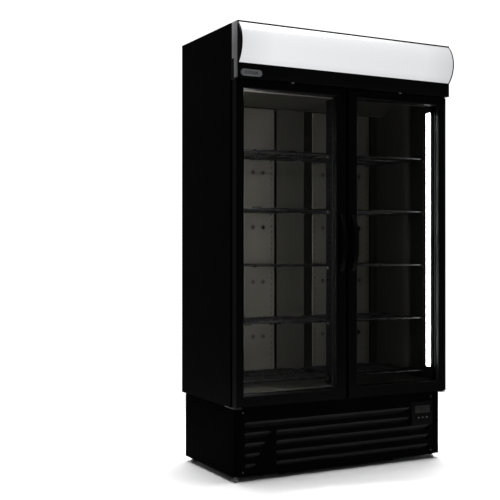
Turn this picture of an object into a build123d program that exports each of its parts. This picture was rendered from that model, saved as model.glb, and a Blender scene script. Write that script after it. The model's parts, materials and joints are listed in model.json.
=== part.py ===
from build123d import *
import math
import os

# Two-door glass merchandiser. +X is the viewer's right, the doors face -Y, +Z is up.
# The origin is on the floor, under the middle of the whole machine. Sizes are millimetres.

# ---- driving dimensions ----
HALF_WIDTH = 575.0
HEIGHT = 2000.0
BACK = 313.0
BODY_FRONT = -207.0
BODY_BOTTOM = 331.0
SKIN = 1.0
SHEET = 1.2

CAVITY_HALF = 530.0
CAVITY_BACK = 263.0
CAVITY_FLOOR = 385.0
CAVITY_CEILING = 1940.0
OPENING_TOP = 1718.5
HEADER_WALL_BACK = -162.0
LINER = 1.5
FRAME_SHEET = 2.0

MULLION_HALF = 20.0
MULLION_BACK = -107.0
MULLION_FLANGE_HALF = 32.0
MULLION_FLANGE_BACK = -180.0

DOOR_FRONT = -257.0
DOOR_DEPTH = 40.0
DOOR_OUTER = 570.0
DOOR_INNER = 6.5
DOOR_BOTTOM = 335.0
DOOR_TOP = 1751.0
HINGE_STILE = 39.0
LATCH_STILE = 49.5
TOP_RAIL = 38.0
BOTTOM_RAIL = 49.0
PROFILE_WALL = 3.0
GLASS_EDGE = 12.0
GLASS_FRONT = -251.0
PANE = 4.0
GLASS_UNIT = 24.0
OPENING_BEVEL = 5.0
PICK_SLACK = 0.01
SPACER_WIDTH = 9.0
GASKET_WIDTH = 22.0
GASKET_GAP = 0.5

HINGE_X = 558.0
HINGE_Y = -237.0
BOTTOM_PIN_R = 5.0
TOP_PIN_R = 4.0
RUNNING = 0.08

HEADER_FRONT = -278.0
HEADER_BOTTOM = 1755.6
BAND_TOP = 1820.0
LENS_TOP = 1993.0
LENS_BULGE = 35.0
LENS_SHEET = 3.0
TRIM = 1.5

HANDLE_X = 32.0
HANDLE_LOW = 915.0
HANDLE_HIGH = 1178.0
HANDLE_REACH = 35.0
HANDLE_GRIP = 11.0
HANDLE_WIDTH = 22.0

SHELF_COUNT = 5
SHELF_BOTTOM = 422.0
SHELF_PITCH = 260.0
SHELF_FRONT = -150.0
SHELF_BACK = 222.0
SHELF_INNER = 26.0
SHELF_OUTER = 524.0
SHELF_FRAME_R = 4.0
SHELF_WIRE_R = 2.0
SHELF_BRACE_R = 3.0
SHELF_WIRES = 20
SHELF_CORNER = 18.0

DUCT_FACE = 231.0
DUCT_INNER = 112.0
DUCT_OUTER = 458.0
DUCT_SLANT = 32.0
DUCT_LOW = 398.0
DUCT_HIGH = 1712.0
AIR_HOLE_R = 11.0
AIR_HOLES_X = (174.0, 230.0, 340.0, 396.0)
AIR_HOLES_Z = (588.0, 858.0, 1128.0, 1398.0)
SLOT_PITCH = SHELF_PITCH / 9
SLOT_COUNT = 42
SLOT_WIDTH = 8.0
SLOT_HEIGHT = 11.0
CLIP_DROP = 10.0
CLIP_TAB = 6.0
REAR_SLOTS_X = (126.0, 445.0)
FRONT_SLOTS_Y = -135.0

BASE_HALF = 561.0
BASE_FRONT = -210.0
BASE_BACK = 301.0
BASE_BOTTOM = 24.0
BASE_TOP = 323.0
POST_INNER = 525.0
SKIRT_BOTTOM = 16.0
GRILLE_BOTTOM = 21.0
LOUVRE_TOP = 246.0
LOUVRE_PITCH = 46.0
LOUVRE_HEIGHT = 26.0
LOUVRE_END_R = 8.0
FLAP_DEPTH = 20.0

BEZEL = (399.0, 523.0, 168.0, 283.0)
CUTOUT = (405.0, 517.0, 174.0, 277.0)
DISPLAY = (420.0, 508.0, 227.0, 262.0)
BUTTONS_X = (440.0, 464.0, 488.0)
BUTTON_Z = 205.0
BUTTON_R = 5.0

FOOT_X = 535.0
FOOT_FRONT = -177.0
FOOT_BACK = 262.0
PAD_R = 17.0
PAD_HEIGHT = 10.0
STUD_R = 5.0
STUD_TOP = 66.0

LOCK_X = 293.0
LOCK_Y = -260.0
LOCK_FACE = 1752.2
PLUG_R = 7.0
LOCK_BODY_R = 9.0
LOCK_FLANGE_R = 11.5

KEYWAY_DEPTH = 8.0
CAM_LOW = 1779.0
CAM_THICK = 2.5

LAMP_LOW = 440.0
LAMP_HIGH = 1690.0
LAMP_FRONT = -204.0
LAMP_BACK = -170.0
LAMP_DEPTH = 10.0
LAMP_LENS_DEPTH = 3.5

BADGE_X = -508.0
BADGE_Z = 1778.5
BADGE_LENGTH = 104.0
BADGE_HEIGHT = 29.0

HINGE_PLATE_INNER = 538.0
HINGE_PLATE_FRONT = -250.0
HINGE_PLATE = 4.0
BOTTOM_PIN = 18.0
TOP_PIN = 19.0
HINGE_COLLAR_R = 9.0

EVAPORATOR_FANS_X = 250.0
EVAPORATOR_FAN_Z = 1874.0
EVAPORATOR_PLATE = -40.0
EVAPORATOR_MOUTH_R = 63.0
CONDENSER_FAN = (-220.0, 172.0)
EVAPORATOR_FAN_R = 60.0
EVAPORATOR_MOTOR_FACE = -8.0
CONDENSER_FAN_R = 96.0
CONDENSER_MOTOR_FACE = -48.0
CONDENSER_BOX = (-400.0, -40.0, 29.0, 300.0)
CONDENSER_FRONT = -180.0
CONDENSER_BACK = -110.0
SHROUD_BACK = -80.0
SHROUD_MOUTH_R = 106.0
SHAFT_R = 2.5
SCREW_R = 2.0

COMPRESSOR = (300.0, 110.0)
POT_R = 72.0
POT_LOW = 44.0
POT_HIGH = 164.0
TUBE_R = 4.0
TUBE_BEND = 18.0

GLAND_X = -430.0
GLAND_Z = 80.0
GLAND_BORE_R = 4.5
GLAND_SEAT_R = 12.0


# ---- helpers ----
def block(x0, x1, y0, y1, z0, z1):
    """Box between two corners."""
    centre = Pos((x0 + x1) / 2, (y0 + y1) / 2, (z0 + z1) / 2)
    return centre * Box(abs(x1 - x0), abs(y1 - y0), abs(z1 - z0))


def rod_z(x, y, radius, z0, z1):
    return Pos(x, y, (z0 + z1) / 2) * Cylinder(radius, z1 - z0)


def rod_y(x, z, radius, y0, y1):
    return Pos(x, (y0 + y1) / 2, z) * Rot(90, 0, 0) * Cylinder(radius, y1 - y0)


def rod_x(y, z, radius, x0, x1):
    return Pos((x0 + x1) / 2, y, z) * Rot(0, 90, 0) * Cylinder(radius, x1 - x0)


def mirrored(shape):
    """The same piece on the other side of the machine."""
    return mirror(shape, about=Plane.YZ)


def pair(shape):
    """The piece and its mirror image, as separate solids."""
    return solids_of([shape, mirrored(shape)])


def solids_of(shapes):
    found = []
    for shape in shapes:
        found.extend(shape.solids())
    return found


def offset_line(points, distance):
    """Open polyline moved sideways by distance, with mitred corners."""
    normals = []
    for (ax, ay), (bx, by) in zip(points, points[1:]):
        length = math.hypot(bx - ax, by - ay)
        normals.append((-(by - ay) / length, (bx - ax) / length))
    moved = []
    for index, (px, py) in enumerate(points):
        before = normals[max(index - 1, 0)]
        after = normals[min(index, len(normals) - 1)]
        mx, my = before[0] + after[0], before[1] + after[1]
        scale = 2 * distance / (mx * mx + my * my)
        moved.append((px + mx * scale, py + my * scale))
    return moved


def bent_sheet(points, thickness, plane, length):
    """Folded sheet: the polyline is one face, drawn in the plane, and runs along its normal."""
    outline = list(points) + offset_line(points, thickness)[::-1]
    face = plane * make_face(Polyline(*outline, close=True))
    return extrude(face, length)


def save(name, shapes):
    shapes = shapes if isinstance(shapes, list) else [shapes]
    solids = solids_of(shapes)
    whole = solids[0] if len(solids) == 1 else Compound(solids)
    export_step(whole, f"parts/{name}.step")
    print(name, len(solids))


def shelf_levels():
    return [SHELF_BOTTOM + SHELF_PITCH * level for level in range(SHELF_COUNT)]


def slot_levels():
    return [SHELF_BOTTOM - CLIP_DROP + SLOT_PITCH * step for step in range(SLOT_COUNT)]


# ---- cabinet body ----
def outer_wrap():
    outer = block(-HALF_WIDTH, HALF_WIDTH, BODY_FRONT, BACK - SKIN, BODY_BOTTOM, HEIGHT)
    inside = HALF_WIDTH - SKIN
    hollow = block(-inside, inside, BODY_FRONT - 1, BACK, BODY_BOTTOM + SKIN, HEIGHT - SKIN)
    return outer - hollow


def back_panel():
    return block(-HALF_WIDTH, HALF_WIDTH, BACK - SKIN, BACK, BODY_BOTTOM, HEIGHT)


def cavity(grow):
    """The cold space, grown outwards on its walls by grow."""
    half = CAVITY_HALF + grow
    low, back = CAVITY_FLOOR - grow, CAVITY_BACK + grow
    doorway = block(-half, half, BODY_FRONT - 1, back, low, OPENING_TOP + grow)
    room = block(-half, half, HEADER_WALL_BACK - grow, back, low, CAVITY_CEILING + grow)
    return doorway + room


def insulation_foam():
    half = HALF_WIDTH - SKIN
    front = BODY_FRONT + FRAME_SHEET
    slab = block(-half, half, front, BACK - SKIN, BODY_BOTTOM + SKIN, HEIGHT - SKIN)
    return slab - cavity(LINER)


def inner_liner():
    front = BODY_FRONT + FRAME_SHEET
    keep = block(-HALF_WIDTH, HALF_WIDTH, front, BACK, BODY_BOTTOM, HEIGHT)
    shell = (cavity(LINER) - cavity(0)) & keep
    slots = []
    for z in slot_levels():
        slots.append(Pos(0, FRONT_SLOTS_Y, z) * Box(2 * CAVITY_HALF + 9, SLOT_WIDTH, SLOT_HEIGHT))
    return shell - slots


def front_frame():
    """Sheet ring round the two doorways, with the strip that the latch stiles close on."""
    half = HALF_WIDTH - SKIN
    back = BODY_FRONT + FRAME_SHEET
    sheet = block(-half, half, BODY_FRONT, back, BODY_BOTTOM + SKIN, HEIGHT - SKIN)
    doorway = block(MULLION_FLANGE_HALF, CAVITY_HALF, BODY_FRONT - 1, back + 1, CAVITY_FLOOR, OPENING_TOP)
    return sheet - [doorway, mirrored(doorway)]


def centre_mullion():
    """Hollow post: a wide front part for the gaskets and a slotted part for the shelf clips."""
    front, step = BODY_FRONT + FRAME_SHEET, MULLION_FLANGE_BACK
    wide, narrow = MULLION_FLANGE_HALF, MULLION_HALF
    flange = block(-wide, wide, front, step, CAVITY_FLOOR, OPENING_TOP)
    post = block(-narrow, narrow, step, MULLION_BACK, CAVITY_FLOOR, OPENING_TOP)
    inner, bore = wide - LINER, narrow - LINER
    low, high = CAVITY_FLOOR - 1, OPENING_TOP + 1
    hollows = [
        block(-inner, inner, front + LINER, step - LINER, low, high),
        block(-bore, bore, step - LINER, MULLION_BACK - LINER, low, high),
    ]
    slots = []
    for z in slot_levels():
        slots.append(Pos(0, FRONT_SLOTS_Y, z) * Box(2 * narrow + 9, SLOT_WIDTH, SLOT_HEIGHT))
    return flange + post - hollows - slots


def duct_panel():
    """Right-hand air duct cover: a sheet tray with slanted sides, air holes and clip slots."""
    outline = [
        (DUCT_INNER - DUCT_SLANT, CAVITY_BACK),
        (DUCT_INNER, DUCT_FACE),
        (DUCT_OUTER, DUCT_FACE),
        (DUCT_OUTER + DUCT_SLANT, CAVITY_BACK),
    ]
    ring = outline + offset_line(outline, SHEET)[::-1]
    inside = Pos(0, CAVITY_BACK - 50) * Rectangle(2 * CAVITY_HALF, 100)
    face = make_face(Polyline(*ring, close=True)) & inside
    panel = Pos(0, 0, DUCT_LOW) * extrude(face, DUCT_HIGH - DUCT_LOW)
    cutters = []
    for z in AIR_HOLES_Z:
        for x in AIR_HOLES_X:
            cutters.append(rod_y(x, z, AIR_HOLE_R, DUCT_FACE - 5, DUCT_FACE + 5))
    for z in slot_levels():
        for x in REAR_SLOTS_X:
            cutters.append(Pos(x, DUCT_FACE, z) * Box(SLOT_WIDTH, 9, SLOT_HEIGHT))
    return panel - cutters


# ---- shelves ----
def wire_shelf():
    """Right-hand shelf at height 0: a round frame, front-to-back wires and two cross braces."""
    centre_x, centre_y = (SHELF_INNER + SHELF_OUTER) / 2, (SHELF_FRONT + SHELF_BACK) / 2
    width, depth = SHELF_OUTER - SHELF_INNER, SHELF_BACK - SHELF_FRONT
    ring = RectangleRounded(width - 2 * SHELF_FRAME_R, depth - 2 * SHELF_FRAME_R, SHELF_CORNER)
    path = Pos(centre_x, centre_y) * ring.wire()
    start = path @ 0
    section = Plane(origin=start, z_dir=path % 0) * Circle(SHELF_FRAME_R)
    frame = sweep(section, path=path)
    low, high = SHELF_FRONT + SHELF_FRAME_R, SHELF_BACK - SHELF_FRAME_R
    step = (width - 2 * SHELF_FRAME_R) / (SHELF_WIRES + 1)
    wires = []
    for index in range(SHELF_WIRES):
        x = SHELF_INNER + SHELF_FRAME_R + step * (index + 1)
        wires.append(rod_y(x, 0, SHELF_WIRE_R, low, high))
    for y in (centre_y - depth / 6, centre_y + depth / 6):
        left, right = SHELF_INNER + SHELF_FRAME_R, SHELF_OUTER - SHELF_FRAME_R
        wires.append(rod_x(y, -SHELF_BRACE_R, SHELF_BRACE_R, left, right))
    return frame + wires


def shelf_clip(x, y, direction):
    """Ledge and hook of one clip; the hook points along direction into its slot."""
    reach, width, height = 9.0, 14.0, 12.0
    top = -SHELF_FRAME_R
    hook, half_tab = LINER, CLIP_TAB / 2
    if direction == "y":
        ledge = block(x - width / 2, x + width / 2, y - reach, y, top - height, top)
        tab = block(x - half_tab, x + half_tab, y - 1, y + hook, -CLIP_DROP - 5, -CLIP_DROP + 5)
        return ledge + tab
    side = math.copysign(1, x)
    inward = -side if abs(x) > MULLION_HALF else side
    ledge = block(x, x + inward * reach, y - width / 2, y + width / 2, top - height, top)
    low, high = -CLIP_DROP - 5, -CLIP_DROP + 5
    tab = block(x - inward * hook, x + inward, y - half_tab, y + half_tab, low, high)
    return ledge + tab


def shelf_clips():
    kit = [
        shelf_clip(CAVITY_HALF, FRONT_SLOTS_Y, "x"),
        shelf_clip(MULLION_HALF, FRONT_SLOTS_Y, "x"),
        shelf_clip(REAR_SLOTS_X[0], DUCT_FACE, "y"),
        shelf_clip(REAR_SLOTS_X[1], DUCT_FACE, "y"),
    ]
    clips = []
    for z in shelf_levels():
        for clip in kit:
            clips.extend(pair(Pos(0, 0, z) * clip))
    return clips


# ---- cold unit at the top of the cavity ----
def evaporator_cover():
    """Folded tray under the coil: drip lip, slanted face, fan plate and top flange."""
    profile = [
        (DUCT_FACE - 1, 1716),
        (200, 1716),
        (75, 1763),
        (EVAPORATOR_PLATE, 1806),
        (EVAPORATOR_PLATE, CAVITY_CEILING),
    ]
    half = CAVITY_HALF - 1
    sheet = bent_sheet(profile, -LINER, Plane.YZ.offset(-half), 2 * half)
    holes = []
    for x in (-EVAPORATOR_FANS_X, EVAPORATOR_FANS_X):
        front, rear = EVAPORATOR_PLATE - 5, EVAPORATOR_PLATE + 5
        holes.append(rod_y(x, EVAPORATOR_FAN_Z, EVAPORATOR_MOUTH_R, front, rear))
    return sheet - holes


def finned_coil(x0, x1, y0, y1, z0, z1, pitch):
    """Tube core with upright fins standing proud of it on the front and back."""
    count = int((x1 - x0) // pitch)
    inset = 0.35 * (y1 - y0)
    core = block(x0, x1, y0 + inset, y1 - inset, z0, z1)
    fins = []
    for index in range(count + 1):
        x = x0 + index * (x1 - x0 - 2) / count
        fins.append(block(x, x + 2, y0, y1, z0, z1))
    return core + fins


def fan_motor(x, z, face, bracket_half, plate):
    """Motor behind a fan plate, carried by a bracket whose feet stand on the plate."""
    depth = 42.0
    back = face + depth
    body = rod_y(x, z, 29, face, back)
    shaft = rod_y(x, z, SHAFT_R, face - 22, face)
    bar = block(x - bracket_half, x + bracket_half, back, back + 3, z - 9, z + 9)
    motor = body + shaft + bar
    for side in (-1, 1):
        leg = x + side * bracket_half
        motor += block(leg, leg - side * 3, plate, back, z - 9, z + 9)
    return motor


def fan_blades(x, z, face, radius):
    """Hub and five pitched blades, clear of the motor face behind them."""
    hub_front, hub_back = face - 24, face - 2
    middle = (hub_front + hub_back) / 2
    hub = rod_y(x, z, 20, hub_front, hub_back)
    fan = hub
    blade = Pos(0, 0, (16 + radius) / 2) * Rot(0, 0, 28) * Box(34, 2, radius - 16)
    for index in range(5):
        fan += Pos(x, middle, z) * Rot(0, 72 * index, 0) * blade
    return fan - rod_y(x, z, SHAFT_R + RUNNING, hub_front - 1, hub_back + 1)


# ---- lamps ----
def lamp_housing():
    return block(CAVITY_HALF - LAMP_DEPTH, CAVITY_HALF, LAMP_FRONT, LAMP_BACK, LAMP_LOW, LAMP_HIGH)


def lamp_lens():
    """Diffuser on the housing, a little smaller than it all round."""
    rear = CAVITY_HALF - LAMP_DEPTH
    front, back = LAMP_FRONT + 2, LAMP_BACK - 3
    return block(rear - LAMP_LENS_DEPTH, rear, front, back, LAMP_LOW + 7, LAMP_HIGH - 6)


# ---- header ----
def header_box():
    half = HALF_WIDTH - TRIM
    shell = block(-half, half, HEADER_FRONT, BODY_FRONT, HEADER_BOTTOM, HEIGHT)
    inside, front = half - SHEET, HEADER_FRONT + SHEET
    hollow = block(-inside, inside, front, BODY_FRONT + 1, HEADER_BOTTOM + SHEET, HEIGHT - SHEET)
    window = block(-565, 565, HEADER_FRONT - 1, HEADER_FRONT + 2, BAND_TOP, LENS_TOP)
    locks = []
    for side in (-1, 1):
        locks.append(rod_z(side * LOCK_X, LOCK_Y, LOCK_BODY_R, HEADER_BOTTOM - 1, HEADER_BOTTOM + 3))
    return shell - hollow - window - locks


def bow_face(inset):
    """Segment between the header front and the bowed lens, moved back by inset."""
    middle = (BAND_TOP + LENS_TOP) / 2
    low = (HEADER_FRONT, BAND_TOP + inset)
    high = (HEADER_FRONT, LENS_TOP - inset)
    crown = (HEADER_FRONT - LENS_BULGE + inset, middle)
    edges = Edge.make_line(high, low) + ThreePointArc(low, crown, high)
    return make_face(edges)


def header_lens():
    face = bow_face(0) - bow_face(LENS_SHEET)
    half = HALF_WIDTH - 7
    return extrude(Plane.YZ.offset(-half) * face, 2 * half)


def lens_end_caps():
    cap = extrude(Plane.YZ.offset(HALF_WIDTH - 7) * bow_face(0), 7)
    return pair(cap)


def header_end_trims():
    """Pale strip on each end of the header, wider above than beside the band."""
    x0, x1 = HALF_WIDTH - TRIM, HALF_WIDTH
    wide = block(x0, x1, -275, -224, 1843, HEIGHT)
    narrow = block(x0, x1, -275, -244, 1757, 1843)
    return pair(wide + narrow)


def header_lamps():
    """Two LED battens on the wall behind the lens."""
    battens = []
    for z in (1868, 1945):
        base = block(-540, 540, BODY_FRONT - 14, BODY_FRONT, z - 14, z + 14)
        battens.append(base + rod_x(BODY_FRONT - 18, z, 11, -535, 535))
    return battens


def badge_plate():
    outline = SlotOverall(BADGE_LENGTH, BADGE_HEIGHT)
    face = Plane.XZ.offset(-HEADER_FRONT) * Pos(BADGE_X, BADGE_Z) * outline
    return extrude(face, 2)


def lock_barrel():
    flange = rod_z(LOCK_X, LOCK_Y, LOCK_FLANGE_R, LOCK_FACE, HEADER_BOTTOM)
    body = rod_z(LOCK_X, LOCK_Y, LOCK_BODY_R, HEADER_BOTTOM, CAM_LOW - 1)
    return flange + body - rod_z(LOCK_X, LOCK_Y, PLUG_R, LOCK_FACE - 1, CAM_LOW)


def lock_plug(x):
    """Turning core with a keyway below and the cam plate on top."""
    core = rod_z(x, LOCK_Y, PLUG_R - RUNNING, LOCK_FACE + 0.3, CAM_LOW)
    core += block(x - 6, x + 26, LOCK_Y - 6, LOCK_Y + 6, CAM_LOW, CAM_LOW + CAM_THICK)
    keyway = block(x - 4, x + 4, LOCK_Y - 0.7, LOCK_Y + 0.7, LOCK_FACE - 1, LOCK_FACE + KEYWAY_DEPTH)
    return core - keyway


# ---- hinges ----
def hinge_brackets():
    """Lower and upper plates of the right door with their riveted pins, and the left door's."""
    inner, front = HINGE_PLATE_INNER, HINGE_PLATE_FRONT
    lower = block(inner, HALF_WIDTH - 1, front, -150, BODY_BOTTOM - HINGE_PLATE, BODY_BOTTOM)
    lower = fillet(lower.edges().filter_by(Axis.Z).sort_by(Axis.Y)[:2], 6)
    lower += rod_z(HINGE_X, HINGE_Y, BOTTOM_PIN_R, BODY_BOTTOM, BODY_BOTTOM + BOTTOM_PIN)
    underside = HEADER_BOTTOM - 3
    upper = block(inner, HALF_WIDTH - 2, front, BODY_FRONT, underside, HEADER_BOTTOM)
    upper = fillet(upper.edges().filter_by(Axis.Z).sort_by(Axis.Y)[:2], 6)
    upper += rod_z(HINGE_X, HINGE_Y, TOP_PIN_R, underside - TOP_PIN, underside)
    return pair(lower) + pair(upper)


# ---- right door, mirrored for the left one ----
def door_frame():
    """Hollow profile ring with a pocket for the glass; the opening's front edges are bevelled."""
    back = DOOR_FRONT + DOOR_DEPTH
    x0, x1 = DOOR_INNER, DOOR_OUTER
    glass_x0, glass_x1 = x0 + LATCH_STILE, x1 - HINGE_STILE
    glass_z0, glass_z1 = DOOR_BOTTOM + BOTTOM_RAIL, DOOR_TOP - TOP_RAIL
    front, deep = DOOR_FRONT + PROFILE_WALL, back - PROFILE_WALL
    wall = PROFILE_WALL
    edge = GLASS_EDGE + wall
    frame = block(x0, x1, DOOR_FRONT, back, DOOR_BOTTOM, DOOR_TOP)
    frame = fillet(frame.edges().filter_by(Axis.Z).group_by(Axis.Y)[0], 2)
    cutters = [
        block(glass_x0, glass_x1, DOOR_FRONT - 1, back + 1, glass_z0, glass_z1),
        block(*glass_box(), GLASS_FRONT, GLASS_FRONT + GLASS_UNIT, *glass_span()),
        block(x0 + wall, glass_x0 - edge, front, deep, DOOR_BOTTOM - 1, DOOR_TOP + 1),
        block(glass_x1 + edge, x1 - wall, front, deep, DOOR_BOTTOM - 1, DOOR_TOP + 1),
        block(glass_x0 - edge, glass_x1 + edge, front, deep, glass_z1 + edge, DOOR_TOP - wall),
        block(glass_x0 - edge, glass_x1 + edge, front, deep, DOOR_BOTTOM + wall, glass_z0 - edge),
    ]
    frame -= cutters
    rim = []
    for line in frame.edges().group_by(Axis.Y)[0]:
        middle = line.center()
        across = glass_x0 - PICK_SLACK <= middle.X <= glass_x1 + PICK_SLACK
        if across and glass_z0 - PICK_SLACK <= middle.Z <= glass_z1 + PICK_SLACK:
            rim.append(line)
    return chamfer(rim, OPENING_BEVEL)


def glass_box():
    """X range of the glass unit, its edges inside the frame."""
    return DOOR_INNER + LATCH_STILE - GLASS_EDGE, DOOR_OUTER - HINGE_STILE + GLASS_EDGE


def glass_span():
    """Z range of the glass unit."""
    return DOOR_BOTTOM + BOTTOM_RAIL - GLASS_EDGE, DOOR_TOP - TOP_RAIL + GLASS_EDGE


def door_glass():
    x0, x1 = glass_box()
    z0, z1 = glass_span()
    rear = GLASS_FRONT + GLASS_UNIT
    return [
        block(x0, x1, GLASS_FRONT, GLASS_FRONT + PANE, z0, z1),
        block(x0, x1, rear - PANE, rear, z0, z1),
    ]


def rectangular_ring(x0, x1, y0, y1, z0, z1, width):
    hole = block(x0 + width, x1 - width, y0 - 1, y1 + 1, z0 + width, z1 - width)
    return block(x0, x1, y0, y1, z0, z1) - hole


def glass_spacer():
    x0, x1 = glass_box()
    z0, z1 = glass_span()
    front, rear = GLASS_FRONT + PANE, GLASS_FRONT + GLASS_UNIT - PANE
    inset = GLASS_EDGE - SPACER_WIDTH - 1.5
    return rectangular_ring(x0 + inset, x1 - inset, front, rear, z0 + inset, z1 - inset, SPACER_WIDTH)


def door_gasket():
    """Soft ring behind the door; it stops short of the hinge axis so that it never binds."""
    front, rear = DOOR_FRONT + DOOR_DEPTH, BODY_FRONT - GASKET_GAP
    inset = 5.0
    x0, x1 = DOOR_INNER + inset, HINGE_X
    return rectangular_ring(x0, x1, front, rear, DOOR_BOTTOM + inset, DOOR_TOP - inset, GASKET_WIDTH)


def door_handle():
    """Bowed grip with both ends on the latch stile."""
    middle = (HANDLE_LOW + HANDLE_HIGH) / 2
    thick_end = 24.0
    low, high = (DOOR_FRONT, HANDLE_LOW), (DOOR_FRONT, HANDLE_HIGH)
    low_inner, high_inner = (DOOR_FRONT, HANDLE_LOW + thick_end), (DOOR_FRONT, HANDLE_HIGH - thick_end)
    outer = ThreePointArc(low, (DOOR_FRONT - HANDLE_REACH, middle), high)
    inner = ThreePointArc(high_inner, (DOOR_FRONT - HANDLE_REACH + HANDLE_GRIP, middle), low_inner)
    top = Edge.make_line(high, high_inner)
    bottom = Edge.make_line(low_inner, low)
    face = make_face([outer.edge(), top, inner.edge(), bottom])
    return extrude(Plane.YZ.offset(HANDLE_X - HANDLE_WIDTH / 2) * face, HANDLE_WIDTH)


def door_end_blocks():
    """Nylon plugs in the stile ends; the two on the hinge side carry the pins."""
    front = DOOR_FRONT + PROFILE_WALL
    rear = DOOR_FRONT + DOOR_DEPTH - PROFILE_WALL
    hidden = GLASS_EDGE + PROFILE_WALL
    x0, x1 = DOOR_OUTER - HINGE_STILE + hidden, DOOR_OUTER - PROFILE_WALL
    inner0, inner1 = DOOR_INNER + PROFILE_WALL, DOOR_INNER + LATCH_STILE - hidden
    lower = block(x0, x1, front, rear, DOOR_BOTTOM, DOOR_BOTTOM + 24)
    lower += rod_z(HINGE_X, HINGE_Y, HINGE_COLLAR_R, BODY_BOTTOM + 0.5, DOOR_BOTTOM)
    lower -= rod_z(HINGE_X, HINGE_Y, BOTTOM_PIN_R + RUNNING, BODY_BOTTOM, BODY_BOTTOM + BOTTOM_PIN + 1)
    upper = block(x0, x1, front, rear, DOOR_TOP - 24, DOOR_TOP)
    upper -= rod_z(HINGE_X, HINGE_Y, TOP_PIN_R + RUNNING, HEADER_BOTTOM - TOP_PIN - 4, DOOR_TOP + 1)
    plugs = [lower, upper]
    for z0, z1 in ((DOOR_BOTTOM, DOOR_BOTTOM + 10), (DOOR_TOP - 10, DOOR_TOP)):
        plugs.append(block(inner0, inner1, front, rear, z0, z1))
    return plugs


# ---- machine base ----
def base_chassis():
    """Tray, four uprights and a rimmed deck that carries the cabinet."""
    half = BASE_HALF - SHEET
    front, back = BASE_FRONT + SHEET, BASE_BACK - SHEET
    tray = block(-half, half, front, back, BASE_BOTTOM + 2, BASE_BOTTOM + 5)
    deck = block(-half, half, front, back, BODY_BOTTOM - 2, BODY_BOTTOM)
    rim = block(-half, half, front, back, BASE_TOP, BODY_BOTTOM - 2)
    rim -= block(-half + 25, half - 25, front + 25, back - 25, BASE_TOP - 1, BODY_BOTTOM)
    chassis = tray + deck + rim
    notch = block(535, BASE_HALF + 1, BASE_FRONT, -148, BASE_TOP - 1, BODY_BOTTOM + 1)
    chassis -= [notch, mirrored(notch)]
    for x in (-518, 518):
        for y in (-190, 285):
            chassis += block(x - 11, x + 11, y - 11, y + 11, BASE_BOTTOM + 5, BASE_TOP)
    for x, y in foot_places():
        chassis -= rod_z(x, y, STUD_R + RUNNING, 0, BASE_BOTTOM + 9)
    return chassis


def base_side_panels():
    """Side sheet with its front and rear corner flanges."""
    profile = [
        (POST_INNER, BASE_FRONT),
        (BASE_HALF, BASE_FRONT),
        (BASE_HALF, BASE_BACK),
        (POST_INNER, BASE_BACK),
    ]
    side = bent_sheet(profile, SHEET, Plane.XY.offset(BASE_BOTTOM), BASE_TOP - BASE_BOTTOM)
    return pair(side)


def louvre_rows():
    """Rows of vents as (height, list of X ranges); the left group narrows downwards."""
    controller, right, centre, left = 389.0, 505.0, -347.0, -505.0
    rows = []
    for index in range(5):
        z = LOUVRE_TOP - LOUVRE_PITCH * index
        ends = controller if index < 2 else right
        if index == 0:
            rows.append((z, [(left, ends)]))
        else:
            rows.append((z, [(left, -349.0 - 25.0 * index), (centre, ends)]))
    return rows


def front_grille():
    """Front sheet with louvres, a deeper skirt in the middle and the controller cut-out."""
    y0, y1 = BASE_FRONT, BASE_FRONT + SHEET
    sheet = block(-POST_INNER, POST_INNER, y0, y1, GRILLE_BOTTOM, BASE_TOP)
    sheet += block(-341, 289, y0, y1, SKIRT_BOTTOM, GRILLE_BOTTOM)
    cutters = [block(CUTOUT[0], CUTOUT[1], y0 - 1, y1 + 1, CUTOUT[2], CUTOUT[3])]
    flaps = []
    for z, spans in louvre_rows():
        for x0, x1 in spans:
            slot = RectangleRounded(x1 - x0, LOUVRE_HEIGHT, LOUVRE_END_R)
            face = Plane.XZ.offset(-y1 - 1) * Pos((x0 + x1) / 2, z) * slot
            cutters.append(extrude(face, SHEET + 2))
            profile = [(y0 + SHEET / 2, z + LOUVRE_HEIGHT / 2 + 4), (y1 + FLAP_DEPTH, z - 8)]
            flaps.append(bent_sheet(profile, SHEET, Plane.YZ.offset(x0), x1 - x0))
    for x, z in grille_screws():
        cutters.append(rod_y(x, z, SCREW_R, y0 - 1, y1 + 1))
    return sheet - cutters + flaps


def grille_screws():
    return [(x, z) for x in (-515.0, 515.0) for z in (42.0, 302.0)]


def rear_screws():
    return [(x, z) for x in (-500.0, 0.0, 500.0) for z in (40.0, 308.0)]


def rear_grille():
    """Ventilated cover at the back, with the hole for the cord gland."""
    y0, y1 = BASE_BACK - SHEET, BASE_BACK
    sheet = block(-POST_INNER, POST_INNER, y0, y1, BASE_BOTTOM, BASE_TOP)
    cutters = [rod_y(GLAND_X, GLAND_Z, GLAND_SEAT_R, y0 - 1, y1 + 1)]
    for column in range(-3, 4):
        for row in range(8):
            x, z = 140.0 * column, 120 + 22.0 * row
            face = Plane.XZ.offset(-y1 - 1) * Pos(x, z) * SlotOverall(110, 8)
            cutters.append(extrude(face, SHEET + 2))
    for x, z in rear_screws():
        cutters.append(rod_y(x, z, SCREW_R, y0 - 1, y1 + 1))
    return sheet - cutters


def cord_gland():
    """Round gland in the rear cover, with an open bore for the mains lead."""
    x, z, inner = GLAND_X, GLAND_Z, BASE_BACK - SHEET
    gland = rod_y(x, z, GLAND_SEAT_R, inner, BASE_BACK)
    gland += rod_y(x, z, 16, BASE_BACK, BASE_BACK + 3)
    gland += rod_y(x, z, 9, BASE_BACK + 3, BASE_BACK + 11)
    gland += rod_y(x, z, 15, inner - 8, inner)
    return gland - rod_y(x, z, GLAND_BORE_R, BASE_BACK - 20, BASE_BACK + 20)


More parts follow.
